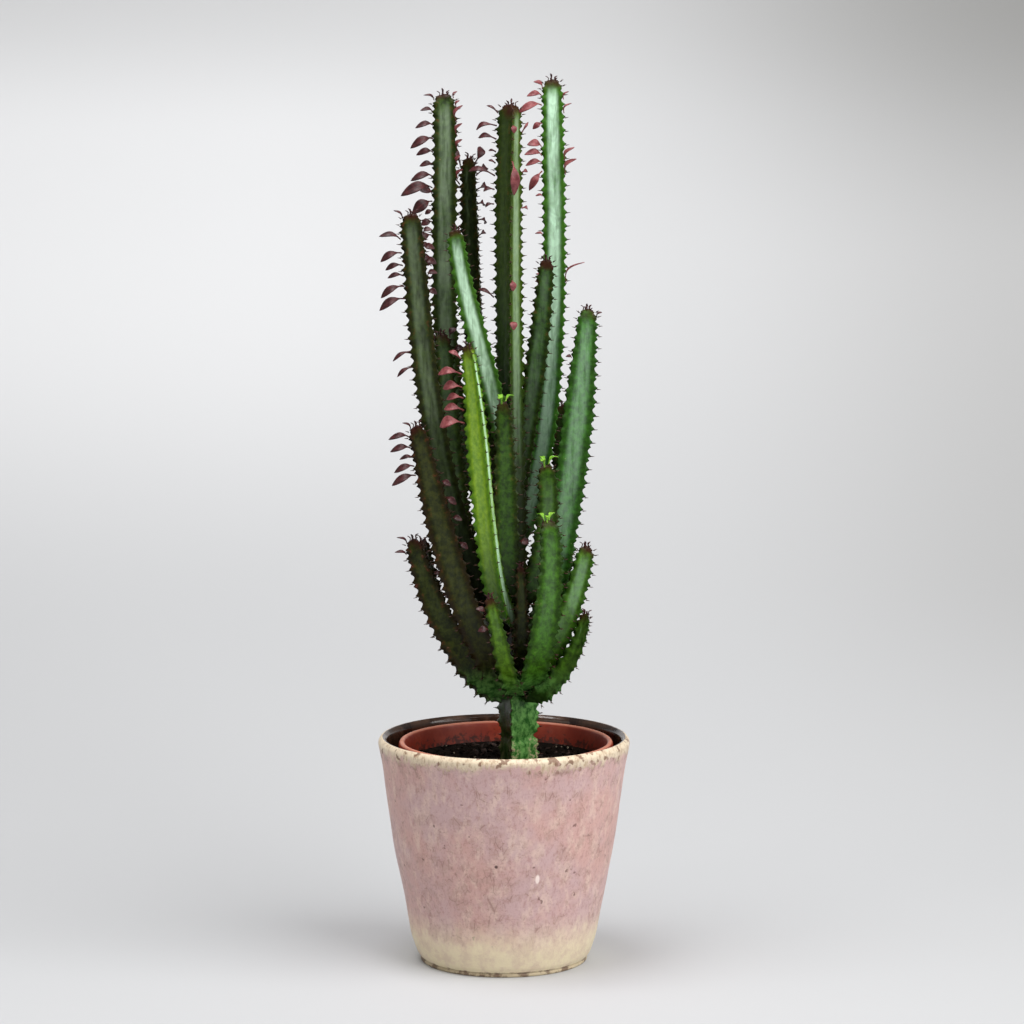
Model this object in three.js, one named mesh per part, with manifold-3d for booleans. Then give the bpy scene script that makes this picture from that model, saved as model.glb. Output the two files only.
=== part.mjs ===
// A potted euphorbia: a three-ridged, candelabra-branching succulent in a plastic nursery pot,
// which stands inside a glazed stoneware cachepot. Millimetres, +Z up, origin at the centre of the base.
import * as THREE from "three";
import { mergeVertices } from "three/addons/utils/BufferGeometryUtils.js";
import Module from "manifold-3d";

const wasm = await Module();
wasm.setup();

// ---------- driving dimensions ----------
const GAP = 0.4; // clearance between neighbouring pieces

const POT_HEIGHT = 222;
const POT_RIM_RADIUS = 123.5;
const POT_FOOT_RADIUS = 82;
const POT_FOOT_WIDTH = 12;
const POT_FLOOR = 12; // top of the floor inside
const POT_WALL = 7.5;
const POT_LIP = 8; // depth of the rounded lip
const POT_RECESS = 4; // how far the underside is raised within the foot ring
const POT_FLARE = [[97.5, 60], [106.5, 105], [113, 146], [118.8, 190]]; // outer radius at heights up the wall
const POT_SIDES = 48;

const NURSERY_RIM_TOP = 218;
const NURSERY_RIM_RADIUS = 105;
const NURSERY_BASE_RADIUS = 72;
const NURSERY_WALL = 2.2;
const NURSERY_RIM_DEPTH = 14;
const NURSERY_RIM_REACH = 4; // how far the rolled rim stands out from the wall
const NURSERY_SIDES = 48;
const NURSERY_CENTRE_X = 2; // it stands slightly off centre in the cachepot
const DRAIN_HOLE_RADIUS = 5;
const DRAIN_HOLES = 6;
const DRAIN_CIRCLE_RADIUS = 48;
const DRILL_LENGTH = 20;
const DRILL_SIDES = 16;

const SOIL_TOP = 195;
const SOIL_LUMP = 2.2;
const SOIL_SIDES = 40;
const ROOT_DEPTH = 150; // height at which the trunk ends inside the soil

const STEM_STEP = 42; // distance between stations along a stem
const JOINT_START = 8; // a branch is narrow up to this distance from its root
const JOINT_LENGTH = 32; // and reaches its full girth over this distance
const JOINT_SHARE = 0.5;
const DOME_LENGTH = 14; // the rounded end of a stem
const DOME_SHARE = 0.4;
const TAPER_LENGTH = 110;
const TRUNK_BLEND = 80; // height over which the trunk thins to the leader

const LEAF_THICKNESS = 1;
const LEAF_ARCH = 0.28; // rise of the blade's middle, as a share of its length
const LEAF_STALK = 0.7; // half the width of the stalk

// ---------- colours ----------
const finish = (color, roughness) => new THREE.MeshStandardMaterial({ color, roughness, metalness: 0 });
const glaze = finish(0xc4a19b, 0.5);
const terracottaPlastic = finish(0x8a4030, 0.45);
const soilMix = finish(0x2c221c, 0.95);
const stemFlesh = finish(0x3c7a32, 0.4);
const leafFlesh = finish(0x7a3540, 0.5);

// ---------- stems ----------
// Each centre line is a cubic curve: its root inside the stem it grew from, two guide points, and its tip.
// girth is the radius over the ridges; turn is the direction, in degrees from +X, that the first ridge faces;
// tip is the share of the girth that is left just below the tip.
function branch(root, firstGuide, secondGuide, end, girth, turn, tip) {
  return { line: [root, firstGuide, secondGuide, end], girth, turn, tip };
}

const MAIN_STEM = {
  line: [[12.5, 0, ROOT_DEPTH], [12, 0, 390], [1, 0, 620], [7, 0, 838]],
  girth: 14.5,
  turn: -80,
  twist: -24, // how much further round the ridges start at the root than at the tip, in degrees
  tip: 0.9,
  trunk: { top: 340, girth: 22 },
};

const BRANCHES = {
  tall_left_stem: branch([7, 0, 416], [-84, 90, 520], [-50, 14, 705], [-58, 34, 847], 13, 90, 0.92),
  back_left_stem: branch([7, 0, 435], [-30, 102, 515], [-29, 42, 673], [-33, 54, 785], 11, 60, 0.85),
  tall_right_stem: branch([7, 0, 396], [62, 98, 500], [48, 24, 725], [47, 42, 861], 12, 90, 0.92),
  upper_left_stem: branch([13, 0, 317], [-68, -20, 430], [-76, -4, 600], [-88, -8, 734], 13.5, 75, 0.88),
  inner_left_stem: branch([10, 0, 345], [-54, 38, 345], [-52, 10, 545], [-61, 18, 616], 12, 100, 0.8),
  leaning_stem: branch([5, 0, 484], [-3, -22, 563], [-38, -10, 639], [-46, -13, 719], 11.5, 80, 0.8),
  upper_right_stem: branch([16, 0, 258], [54, 18, 372], [70, 5, 515], [81, 8, 641], 17, 100, 0.62),
  front_left_stem: branch([12, 0, 335], [-15, -84, 335], [-19, -38, 526], [-34, -48, 610], 13, 50, 0.62),
  inner_right_stem: branch([10, 0, 347], [36, -42, 373], [49, -24, 446], [40, -28, 493], 12.5, 90, 0.8),
  middle_left_stem: branch([17, 0, 270], [-36, -57, 302], [-64, -22, 452], [-84, -32, 532], 15, 85, 0.66),
  front_right_stem: branch([17, 0, 268], [28, -76, 284], [51, -54, 388], [41, -58, 443], 16, 110, 0.7),
  low_front_stem: branch([17, 0, 266], [7, -65, 268], [-3, -64, 326], [-14, -66, 370], 9.5, 90, 0.7),
  lower_left_stem: branch([17, 0, 260], [-38, -37, 286], [-73, -10, 354], [-88, -18, 420], 15, 85, 0.62),
  lower_right_stem: branch([16, 0, 263], [47, -30, 300], [71, -14, 361], [80, -18, 413], 13, 95, 0.75),
  lowest_right_stem: branch([17, 0, 260], [40, -45, 266], [74, -39, 298], [80, -40, 350], 10.5, 60, 0.7),
  front_middle_stem: branch([11, 0, 337], [-1, -59, 392], [4, -31, 484], [-1, -38, 555], 13, 90, 0.65),
  narrow_right_stem: branch([7, 0, 396], [12, 46, 474], [39, 11, 600], [42, 20, 688], 11.5, 80, 0.75),
  low_middle_stem: branch([14, 0, 287], [19, -53, 304], [18, -43, 352], [16, -44, 397], 7.5, 90, 0.7),
  rear_left_stem: branch([15, 0, 275], [-36, 70, 305], [-58, 68, 430], [-56, 82, 560], 13.5, 30, 0.75),
  rear_middle_stem: branch([14, 0, 300], [5, 95, 340], [0, 84, 480], [4, 92, 610], 13, 90, 0.8),
  rear_right_stem: branch([15, 0, 285], [60, 75, 320], [62, 70, 430], [60, 84, 540], 13.5, 50, 0.75),
  rear_low_left_stem: branch([16, 0, 255], [-42, 50, 262], [-72, 36, 340], [-80, 44, 410], 12.5, 40, 0.7),
  rear_low_right_stem: branch([17, 0, 250], [38, 60, 275], [56, 50, 340], [64, 50, 400], 12, 70, 0.7),
};

// ---------- leaves ----------
// The larger leaves of each stem, by the ridge they grow on: [distance below the tip, length, width, rise].
// Each blade is rolled about its own length, so that its upper face looks outwards, away from the leader.
const LEAF_ROLL = { left: -55, right: 55, front: 0 };
const LEAVES = {
  tall_left_stem: {
    left: [[30, 20, 6, -8], [43, 27, 9, -20], [56, 19, 7, -8], [68, 15, 6, -5], [79, 25, 8, -10],
      [90, 36, 12, -12], [103, 25, 13, -28], [136, 21, 10, -20]],
    right: [[28, 18, 6, 68], [41, 14, 6, 65]],
  },
  upper_left_stem: {
    left: [[24, 22, 6, 8], [37, 23, 8, -22], [49, 18, 6, -15], [69, 26, 8, -26], [81, 28, 9, -24]],
  },
  middle_left_stem: { left: [[9, 22, 6, -5], [20, 22, 7, -8], [38, 22, 7, -15], [47, 27, 8, -20]] },
  main_stem: { left: [[21, 22, 6, -12], [34, 19, 6, 3], [69, 28, 6, 8]], front: [[54, 34, 10, -74]] },
  tall_right_stem: {
    left: [[25, 29, 8, -16], [65, 17, 9, 8], [73, 20, 7, 3], [88, 24, 8, -52]],
    right: [[80, 18, 5, 55], [92, 20, 6, 52]],
  },
  front_left_stem: { left: [[27, 24, 9, -2], [40, 20, 11, -4], [62, 20, 9, 2], [74, 25, 14, -10]] },
};

// ---------- geometry ----------

// A closed three.js geometry as a solid that can be joined and cut.
function toSolid(geometry) {
  const bare = geometry.clone();
  bare.deleteAttribute("normal");
  bare.deleteAttribute("uv");
  const merged = mergeVertices(bare, 1e-3);
  const vertProperties = new Float32Array(merged.attributes.position.array);
  const triVerts = new Uint32Array(merged.index.array);
  return new wasm.Manifold(new wasm.Mesh({ numProp: 3, vertProperties, triVerts }));
}

function toGeometry(solid) {
  const mesh = solid.getMesh();
  const geometry = new THREE.BufferGeometry();
  geometry.setAttribute("position", new THREE.BufferAttribute(mesh.vertProperties, 3));
  geometry.setIndex(new THREE.BufferAttribute(mesh.triVerts, 1));
  geometry.computeVertexNormals();
  return geometry;
}

// Cutting a root back can leave slivers beside the stem, so only the largest body is kept.
function largestBody(solid) {
  return solid.decompose().reduce((best, body) => (body.volume() > best.volume() ? body : best));
}

// A turned body: points are [radius, height] pairs from axis to axis, or closing on themselves.
function turned(points, sides) {
  const geometry = new THREE.LatheGeometry(points.map(([r, z]) => new THREE.Vector2(r, z)), sides);
  return geometry.rotateX(Math.PI / 2);
}

// Cross-section of a stem: winged ridges with hollow faces between them. The outline has unit girth.
function ridgedOutline(ridges) {
  const rim = [[0, 1], [0.15, 0.68], [0.5, 0.46], [0.85, 0.68]]; // share of the way to the next ridge, radius
  const corners = [];
  for (let ridge = 0; ridge < ridges; ridge++) {
    for (const [share, radius] of rim) {
      const angle = ((ridge + share) * 2 * Math.PI) / ridges;
      corners.push(new THREE.Vector2(radius * Math.cos(angle), radius * Math.sin(angle)));
    }
  }
  return new THREE.Shape(corners);
}

function centreLine({ line }) {
  return new THREE.CubicBezierCurve3(...line.map((point) => new THREE.Vector3(...point)));
}

// Directions across a stem at one place: "side" lies as near +X as it can, "depth" completes the pair.
function acrossAt(curve, u) {
  const along = curve.getTangentAt(u);
  const side = new THREE.Vector3(1, 0, 0).addScaledVector(along, -along.x).normalize();
  return { side, depth: new THREE.Vector3().crossVectors(along, side) };
}

// The radius over the ridges: a narrow joint at the root, a rounded tip, and a trunk that thickens downwards.
function girthAt({ girth, tip: tipShare, trunk }, along, length, height) {
  const { lerp, smoothstep } = THREE.MathUtils;
  const fromTip = length - along;
  const taper = lerp(tipShare, 1, smoothstep(fromTip, 0, Math.min(TAPER_LENGTH, 0.55 * length)));
  const roundness = Math.sqrt(1 - (1 - Math.min(1, fromTip / DOME_LENGTH)) ** 2);
  const tip = taper * lerp(DOME_SHARE, 1, roundness);
  if (trunk) return tip * lerp(girth, trunk.girth, smoothstep(trunk.top - height, 0, TRUNK_BLEND));
  return tip * girth * lerp(JOINT_SHARE, 1, smoothstep(along, JOINT_START, JOINT_START + JOINT_LENGTH));
}

// A stem: a straight blank extruded from the ridged outline, then bent along its centre line and tapered.
function stemGeometry(stem, clearance = 0) {
  const curve = centreLine(stem);
  const length = curve.getLength();
  const nearRoot = [0, 14, 28, 42];
  const nearTip = [14, 6, 2, 0].map((distance) => length - distance);
  const between = Math.ceil((nearTip[0] - nearRoot.at(-1)) / STEM_STEP);
  const step = (nearTip[0] - nearRoot.at(-1)) / between;
  const middle = Array.from({ length: between - 1 }, (_, i) => nearRoot.at(-1) + (i + 1) * step);
  const stations = [...nearRoot, ...middle, ...nearTip];

  const steps = stations.length - 1;
  const blank = new THREE.ExtrudeGeometry(ridgedOutline(3), { steps, depth: steps, bevelEnabled: false });
  const position = blank.attributes.position;
  const turn = THREE.MathUtils.degToRad(stem.turn);
  const twist = THREE.MathUtils.degToRad(stem.twist ?? 0);
  for (let i = 0; i < position.count; i++) {
    const along = stations[Math.round(position.getZ(i))];
    const centre = curve.getPointAt(along / length);
    const { side, depth } = acrossAt(curve, along / length);
    const corner = new THREE.Vector2(position.getX(i), position.getY(i));
    const radius = corner.length() * girthAt(stem, along, length, centre.z) + clearance;
    const angle = corner.angle() + turn + twist * (1 - along / length);
    centre.addScaledVector(side, radius * Math.cos(angle));
    centre.addScaledVector(depth, radius * Math.sin(angle));
    position.setXYZ(i, centre.x, centre.y, centre.z);
  }
  return blank;
}

// The direction in degrees of the ridge that faces most nearly to the left, right or front.
function ridgeFacing(stem, facing) {
  const wanted = THREE.MathUtils.degToRad({ left: 180, right: 0, front: -90 }[facing]);
  const turns = [0, 120, 240].map((step) => THREE.MathUtils.degToRad(stem.turn + step));
  return turns.reduce((best, turn) => (Math.cos(turn - wanted) > Math.cos(best - wanted) ? turn : best));
}

// A spoon-shaped blade lying along +X with its stalk at the origin, drooping a little towards its tip.
function leafGeometry(length, width) {
  const outline = new THREE.Shape();
  outline.moveTo(0, -LEAF_STALK);
  outline.bezierCurveTo(0.4 * length, -LEAF_STALK, 0.5 * length, -width / 2, 0.75 * length, -width / 2);
  outline.quadraticCurveTo(0.97 * length, -width / 2, length, 0);
  outline.quadraticCurveTo(0.97 * length, width / 2, 0.75 * length, width / 2);
  outline.bezierCurveTo(0.5 * length, width / 2, 0.4 * length, LEAF_STALK, 0, LEAF_STALK);
  const blade = new THREE.ExtrudeGeometry(outline, {
    depth: LEAF_THICKNESS,
    bevelEnabled: false,
    curveSegments: 3,
  });
  const position = blade.attributes.position;
  for (let i = 0; i < position.count; i++) {
    const share = position.getX(i) / length;
    const arch = LEAF_ARCH * length * Math.sin(Math.PI * share) - LEAF_THICKNESS / 2;
    position.setZ(i, position.getZ(i) + arch);
  }
  return blade;
}

// ---------- the pots and the soil ----------

function glazedPot() {
  const outside = [
    [POT_FOOT_RADIUS, 0], [POT_FOOT_RADIUS, 3], [POT_FOOT_RADIUS + 2, 5], [POT_FOOT_RADIUS + 7, 16],
    [POT_FOOT_RADIUS + 9.4, 27], ...POT_FLARE, [POT_RIM_RADIUS - 1.5, POT_HEIGHT - 14],
    [POT_RIM_RADIUS, POT_HEIGHT - 6], [POT_RIM_RADIUS - 0.8, POT_HEIGHT - 2],
  ];
  const lip = [
    [POT_RIM_RADIUS - POT_LIP / 2, POT_HEIGHT], [POT_RIM_RADIUS - POT_LIP, POT_HEIGHT - 2],
    [POT_RIM_RADIUS - POT_LIP - 1.5, POT_HEIGHT - POT_LIP],
  ];
  const inside = POT_FLARE.map(([radius, height]) => [radius - POT_WALL, height]).reverse();
  const floor = [[POT_FOOT_RADIUS + 2, 2 * POT_FLOOR], [POT_FOOT_RADIUS - 4, POT_FLOOR], [0, POT_FLOOR]];
  const innerFoot = POT_FOOT_RADIUS - POT_FOOT_WIDTH;
  const underside = [[0, POT_RECESS], [innerFoot - 2, POT_RECESS], [innerFoot, 0]];
  return turned([...underside, ...outside, ...lip, ...inside, ...floor], POT_SIDES);
}

const nurseryBase = POT_FLOOR + GAP;
// Radius of the nursery pot's outer wall at a height: a plain cone up to the rim.
function nurseryWallAt(z) {
  const share = (z - nurseryBase) / (NURSERY_RIM_TOP - nurseryBase);
  return THREE.MathUtils.lerp(NURSERY_BASE_RADIUS, NURSERY_RIM_RADIUS - NURSERY_RIM_REACH, share);
}

function nurseryPot() {
  const rimFoot = NURSERY_RIM_TOP - NURSERY_RIM_DEPTH;
  const floor = nurseryBase + NURSERY_WALL;
  const shell = turned([
    [0, nurseryBase], [nurseryWallAt(nurseryBase), nurseryBase],
    [nurseryWallAt(rimFoot), rimFoot], [NURSERY_RIM_RADIUS, rimFoot + 1],
    [NURSERY_RIM_RADIUS, NURSERY_RIM_TOP - 2], [NURSERY_RIM_RADIUS - 2.5, NURSERY_RIM_TOP],
    [NURSERY_RIM_RADIUS - 6, NURSERY_RIM_TOP - 1], [nurseryWallAt(rimFoot) - NURSERY_WALL, rimFoot - 2],
    [nurseryWallAt(floor) - NURSERY_WALL, floor], [0, floor],
  ], NURSERY_SIDES);
  let pot = toSolid(shell);
  for (let hole = 0; hole < DRAIN_HOLES; hole++) {
    const angle = (hole * 2 * Math.PI) / DRAIN_HOLES;
    const drill = new THREE.CylinderGeometry(DRAIN_HOLE_RADIUS, DRAIN_HOLE_RADIUS, DRILL_LENGTH, DRILL_SIDES);
    drill.rotateX(Math.PI / 2);
    drill.translate(DRAIN_CIRCLE_RADIUS * Math.cos(angle), DRAIN_CIRCLE_RADIUS * Math.sin(angle), floor);
    pot = pot.subtract(toSolid(drill));
  }
  return toGeometry(pot).translate(NURSERY_CENTRE_X, 0, 0);
}

// The soil fills the nursery pot to its top, gently lumpy, with a socket for the trunk.
function pottingSoil(trunkClearance) {
  const foot = nurseryBase + NURSERY_WALL + GAP;
  const wall = (z) => nurseryWallAt(z) - NURSERY_WALL - GAP;
  const rings = [1, 0.85, 0.65, 0.45, 0.25, 0].map((share) => [wall(SOIL_TOP) * share, SOIL_TOP]);
  const fill = turned([[0, foot], [wall(foot), foot], ...rings], SOIL_SIDES);
  const position = fill.attributes.position;
  for (let i = 0; i < position.count; i++) {
    if (position.getZ(i) < SOIL_TOP) continue;
    const [x, y] = [position.getX(i), position.getY(i)];
    const inward = 1 - Math.hypot(x, y) / wall(SOIL_TOP);
    const lumps = Math.sin(x / 9) * Math.cos(y / 11) + Math.sin((x + 2 * y) / 17);
    position.setZ(i, SOIL_TOP + SOIL_LUMP * (lumps * Math.min(1, 4 * inward) + inward));
  }
  fill.translate(NURSERY_CENTRE_X, 0, 0);
  return toGeometry(toSolid(fill).subtract(trunkClearance));
}

// ---------- assembly ----------

const plant = new THREE.Group();
const holder = new THREE.Group();
const object = new THREE.Group();
object.add(holder, plant);

function addTo(group, name, geometry, material) {
  const mesh = new THREE.Mesh(geometry, material);
  mesh.name = name;
  group.add(mesh);
  return mesh;
}

const stems = { main_stem: MAIN_STEM, ...BRANCHES };
const clearances = [];
for (const [name, stem] of Object.entries(stems)) {
  let body = toSolid(stemGeometry(stem));
  for (const neighbour of clearances) body = body.subtract(neighbour);
  clearances.push(toSolid(stemGeometry(stem, 1.6 * GAP)));
  addTo(plant, name, toGeometry(largestBody(body)), stemFlesh);
}

for (const [stemName, sides] of Object.entries(LEAVES)) {
  const stem = stems[stemName];
  const curve = centreLine(stem);
  const length = curve.getLength();
  for (const [side, leaves] of Object.entries(sides)) {
    const direction = ridgeFacing(stem, side);
    leaves.forEach(([below, leafLength, width, rise], index) => {
      const u = 1 - below / length;
      const foot = curve.getPointAt(u);
      const across = acrossAt(curve, u);
      const reach = girthAt(stem, length - below, length, foot.z) + 2 * GAP;
      foot.addScaledVector(across.side, reach * Math.cos(direction));
      foot.addScaledVector(across.depth, reach * Math.sin(direction));
      const name = `${stemName.replace("_stem", "")}_${side}_leaf_${index + 1}`;
      const leaf = addTo(plant, name, leafGeometry(leafLength, width), leafFlesh);
      leaf.position.copy(foot);
      const roll = THREE.MathUtils.degToRad(LEAF_ROLL[side]);
      leaf.rotation.set(roll, -THREE.MathUtils.degToRad(rise), direction, "ZYX");
    });
  }
}

addTo(holder, "glazed_pot", glazedPot(), glaze);
addTo(holder, "nursery_pot", nurseryPot(), terracottaPlastic);
addTo(holder, "potting_soil", pottingSoil(clearances[0]), soilMix);

export default object;
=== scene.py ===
import bisect
import math
import random

import bmesh
import bpy
from mathutils import Matrix, Vector, noise
from mathutils.geometry import interpolate_bezier


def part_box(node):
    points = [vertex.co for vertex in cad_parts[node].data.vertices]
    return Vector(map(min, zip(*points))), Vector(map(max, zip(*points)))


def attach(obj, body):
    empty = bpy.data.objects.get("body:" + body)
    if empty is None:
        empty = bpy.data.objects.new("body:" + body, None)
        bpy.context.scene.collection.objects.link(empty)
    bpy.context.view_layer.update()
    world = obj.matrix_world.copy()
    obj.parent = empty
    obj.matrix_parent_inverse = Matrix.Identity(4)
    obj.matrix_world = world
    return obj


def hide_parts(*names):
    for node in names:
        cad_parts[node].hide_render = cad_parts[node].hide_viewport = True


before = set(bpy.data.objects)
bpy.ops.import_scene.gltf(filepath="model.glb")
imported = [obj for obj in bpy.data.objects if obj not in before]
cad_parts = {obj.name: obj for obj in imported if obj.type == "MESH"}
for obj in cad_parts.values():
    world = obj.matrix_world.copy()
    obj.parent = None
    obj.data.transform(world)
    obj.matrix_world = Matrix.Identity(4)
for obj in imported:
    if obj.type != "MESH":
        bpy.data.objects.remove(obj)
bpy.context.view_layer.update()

# ---------------------------------------------------------------------------------------------
# The cachepot: thrown stoneware, one fired piece. Outside it has a matt, crackled pink glaze that breaks to
# cream at the lip and the foot; inside it is dipped in glossy dark brown. It stands on a narrow foot ring.
# ---------------------------------------------------------------------------------------------

pot_low, pot_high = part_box("glazed_pot")
pot_top = pot_high[2]
rim_radius = (pot_high[0] - pot_low[0]) / 2
foot_radius = 0.082
foot_ring = 0.012  # its width
foot_hollow = 0.004  # how far the underside stands clear of the table
pot_floor = 0.012
brown_from = 0.0035  # how far in from the rim the brown glaze begins
throwing_wave = 0.0007  # unevenness left by the thrower's fingers
wave_room = 0.0004  # taken off the wall, so that the waves stay within its size


def paint(red, green, blue):
    """A colour given as a maker reads it off a colour card, 0 to 255, as the shader wants it."""
    shares = (channel / 255 for channel in (red, green, blue))
    return tuple(s / 12.92 if s <= 0.04045 else ((s + 0.055) / 1.055) ** 2.4 for s in shares) + (1.0,)


def smooth_line(points, between=6):
    """A line that runs smoothly through the points, with a few more set between each two."""
    knots = [Vector(p) for p in points]
    knots = [2 * knots[0] - knots[1]] + knots + [2 * knots[-1] - knots[-2]]
    line = []
    for before, start, end, after in zip(knots, knots[1:], knots[2:], knots[3:]):
        leave = start + (end - before) / 6
        arrive = end - (after - start) / 6
        handles = (start.to_3d(), leave.to_3d(), arrive.to_3d(), end.to_3d())
        line += interpolate_bezier(*handles, between + 1)[:-1]
    return [(p.x, p.y) for p in line] + [tuple(points[-1])]


def throw(profile, steps):
    """Turns a profile of (radius, height) points into a closed body, as on a wheel."""
    shape = bmesh.new()
    corners = [shape.verts.new((radius, 0, height)) for radius, height in profile]
    edges = [shape.edges.new(pair) for pair in zip(corners, corners[1:])]
    bmesh.ops.spin(shape, geom=corners + edges, cent=(0, 0, 0), axis=(0, 0, 1), angle=math.tau,
                   steps=steps, use_merge=True)
    bmesh.ops.remove_doubles(shape, verts=shape.verts, dist=1e-6)
    bmesh.ops.recalc_face_normals(shape, faces=shape.faces)
    return shape


def finished(shape, name, materials, smooth=True):
    """Makes the shape an object of the scene with its materials."""
    mesh = bpy.data.meshes.new(name)
    for face in shape.faces:
        face.smooth = smooth
    shape.to_mesh(mesh)
    shape.free()
    for material in materials:
        mesh.materials.append(material)
    piece = bpy.data.objects.new(name, mesh)
    bpy.context.scene.collection.objects.link(piece)
    return piece


class Finish:
    """A material under construction: its nodes are added and joined in the order of the work."""

    def __init__(self, name, roughness):
        self.material = bpy.data.materials.new(name)
        self.material.use_nodes = True
        self.tree = self.material.node_tree
        self.shader = self.tree.nodes["Principled BSDF"]
        self.shader.inputs["Roughness"].default_value = roughness
        self.place = self.add("ShaderNodeTexCoord").outputs["Object"]

    def add(self, kind, inputs=None, **settings):
        node = self.tree.nodes.new(kind)
        for key, value in settings.items():
            setattr(node, key, value)
        for key, value in (inputs or {}).items():
            if isinstance(value, bpy.types.NodeSocket):
                self.tree.links.new(value, node.inputs[key])
            else:
                node.inputs[key].default_value = value
        return node

    def stretched(self, scale):
        """The piece's own coordinates, scaled along each axis."""
        return self.add("ShaderNodeMapping", {"Vector": self.place, "Scale": scale}).outputs["Vector"]

    def cloud(self, scale, detail, roughness, place=None):
        """Soft, cloudy unevenness of that many patches to the metre."""
        inputs = {"Vector": place or self.place, "Scale": scale, "Detail": detail, "Roughness": roughness}
        return self.add("ShaderNodeTexNoise", inputs).outputs["Fac"]

    def attribute(self, name):
        return self.add("ShaderNodeAttribute", attribute_name=name).outputs["Fac"]

    def coordinate(self, axis):
        return self.add("ShaderNodeSeparateXYZ", {"Vector": self.place}).outputs[axis]

    def distance(self, point, place=None):
        inputs = {0: place or self.place, 1: point}
        return self.add("ShaderNodeVectorMath", inputs, operation="DISTANCE").outputs["Value"]

    def plus(self, a, b):
        return self.add("ShaderNodeMath", {0: a, 1: b}, operation="ADD").outputs[0]

    def less(self, a, b):
        return self.add("ShaderNodeMath", {0: a, 1: b}, operation="SUBTRACT").outputs[0]

    def times(self, a, b):
        return self.add("ShaderNodeMath", {0: a, 1: b}, operation="MULTIPLY").outputs[0]

    def between(self, value, low, high, to_low=0.0, to_high=1.0):
        """Runs smoothly from one strength to another while the value runs from low to high."""
        inputs = {"Value": value, "From Min": low, "From Max": high, "To Min": to_low, "To Max": to_high}
        return self.add("ShaderNodeMapRange", inputs, interpolation_type="SMOOTHSTEP").outputs["Result"]

    def mixed(self, share, under, over):
        """One colour with a share of another laid over it."""
        node = self.add("ShaderNodeMix", data_type="RGBA")
        for socket, value in ((0, share), (6, under), (7, over)):
            if isinstance(value, bpy.types.NodeSocket):
                self.tree.links.new(value, node.inputs[socket])
            else:
                node.inputs[socket].default_value = value
        return node.outputs[2]

    def colour(self, socket):
        self.tree.links.new(socket, self.shader.inputs["Base Color"])

    def rough(self, socket):
        self.tree.links.new(socket, self.shader.inputs["Roughness"])

    def relief(self, height, strength, distance):
        bump = self.add("ShaderNodeBump", {"Height": height, "Strength": strength, "Distance": distance})
        self.tree.links.new(bump.outputs["Normal"], self.shader.inputs["Normal"])


pot_wall = smooth_line([  # up the outside, over the lip and down the inside
    (foot_radius, 0.0045), (foot_radius + 0.0035, 0.0085), (0.0895, 0.019), (0.0925, 0.030), (0.0975, 0.060),
    (0.1065, 0.105), (0.113, 0.146), (0.1188, 0.190), (0.1222, 0.208), (rim_radius, 0.2150),
    (rim_radius - 0.0005, 0.2188), (rim_radius - 0.0035, pot_top), (rim_radius - 0.0070, 0.2205),
    (rim_radius - 0.0092, 0.2150), (0.1125, 0.190), (0.1058, 0.146), (0.099, 0.105), (0.0895, 0.055),
    (0.0835, 0.024), (0.077, pot_floor),
])
ring_inside = foot_radius - foot_ring
foot_line = [(0, foot_hollow), (ring_inside - 0.0015, foot_hollow), (ring_inside, 0.0006),
             (ring_inside + 0.0010, 0), (foot_radius - 0.0010, 0), (foot_radius, 0.0008),
             (foot_radius, 0.0030), (foot_radius - 0.0012, 0.0036)]
pot = throw(foot_line + pot_wall + [(0, pot_floor)], steps=160)
for vert in pot.verts:
    radius = vert.co.xy.length
    if radius > foot_radius and vert.co.z > 0.006:  # the foot itself was trimmed true
        wave = throwing_wave * noise.noise(Vector((vert.co.x * 9, vert.co.y * 9, vert.co.z * 22)))
        vert.co.xy *= 1 + (wave - wave_room) / radius
for face in pot.faces:
    middle = face.calc_center_median()
    looks_inwards = face.normal.xy.dot(middle.xy) < 0 and middle.z > pot_floor + 0.004
    in_the_well = looks_inwards and middle.xy.length < rim_radius - brown_from
    on_the_floor = middle.z > pot_floor - 0.002 and middle.xy.length < 0.080
    if in_the_well or on_the_floor:
        face.material_index = 1

# Heights over which one part of the pink glaze gives way to another.
lip_smoke = (0.203, 0.211)
lip_cream = (0.2070, 0.2155)
base_cream = (0.062, 0.018)
foot_wear = (0.0060, 0.0040)
foot_bare = (0.0046, 0.0038)
# The two larger flaws in the front. The chip is drawn out upwards, and its height is scaled to match.
pit_place = (-0.0071, -0.1078, 0.115)
chip_stretch = (1, 1, 0.4)
chip_place = (0.0325, -0.1004, 0.0404)

pink_glaze = Finish("pink_crackle_glaze", 0.5)
height = pink_glaze.coordinate("Z")
runs = pink_glaze.cloud(1.0, 6, 0.65, pink_glaze.stretched((85, 85, 42)))
fine_runs = pink_glaze.cloud(1.0, 5, 0.7, pink_glaze.stretched((260, 260, 130)))
clouds = pink_glaze.cloud(11, 6, 0.65)
flecks = pink_glaze.cloud(62, 5, 0.7)
grains = pink_glaze.cloud(420, 3, 0.6)
body = pink_glaze.mixed(pink_glaze.between(clouds, 0.38, 0.62), paint(206, 164, 156), paint(202, 170, 170))
body = pink_glaze.mixed(pink_glaze.between(runs, 0.47, 0.64, 0, 0.6), body, paint(226, 200, 186))
body = pink_glaze.mixed(pink_glaze.between(flecks, 0.48, 0.64, 0, 0.6), body, paint(184, 150, 140))
body = pink_glaze.mixed(pink_glaze.between(fine_runs, 0.50, 0.68, 0, 0.5), body, paint(172, 128, 122))
body = pink_glaze.mixed(pink_glaze.between(grains, 0.52, 0.70, 0, 0.35), body, paint(160, 118, 108))
crackle_place = {"Vector": pink_glaze.stretched((150, 150, 60)), "Scale": 1.0}
crackle = pink_glaze.add("ShaderNodeTexVoronoi", crackle_place, feature="DISTANCE_TO_EDGE")
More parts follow.
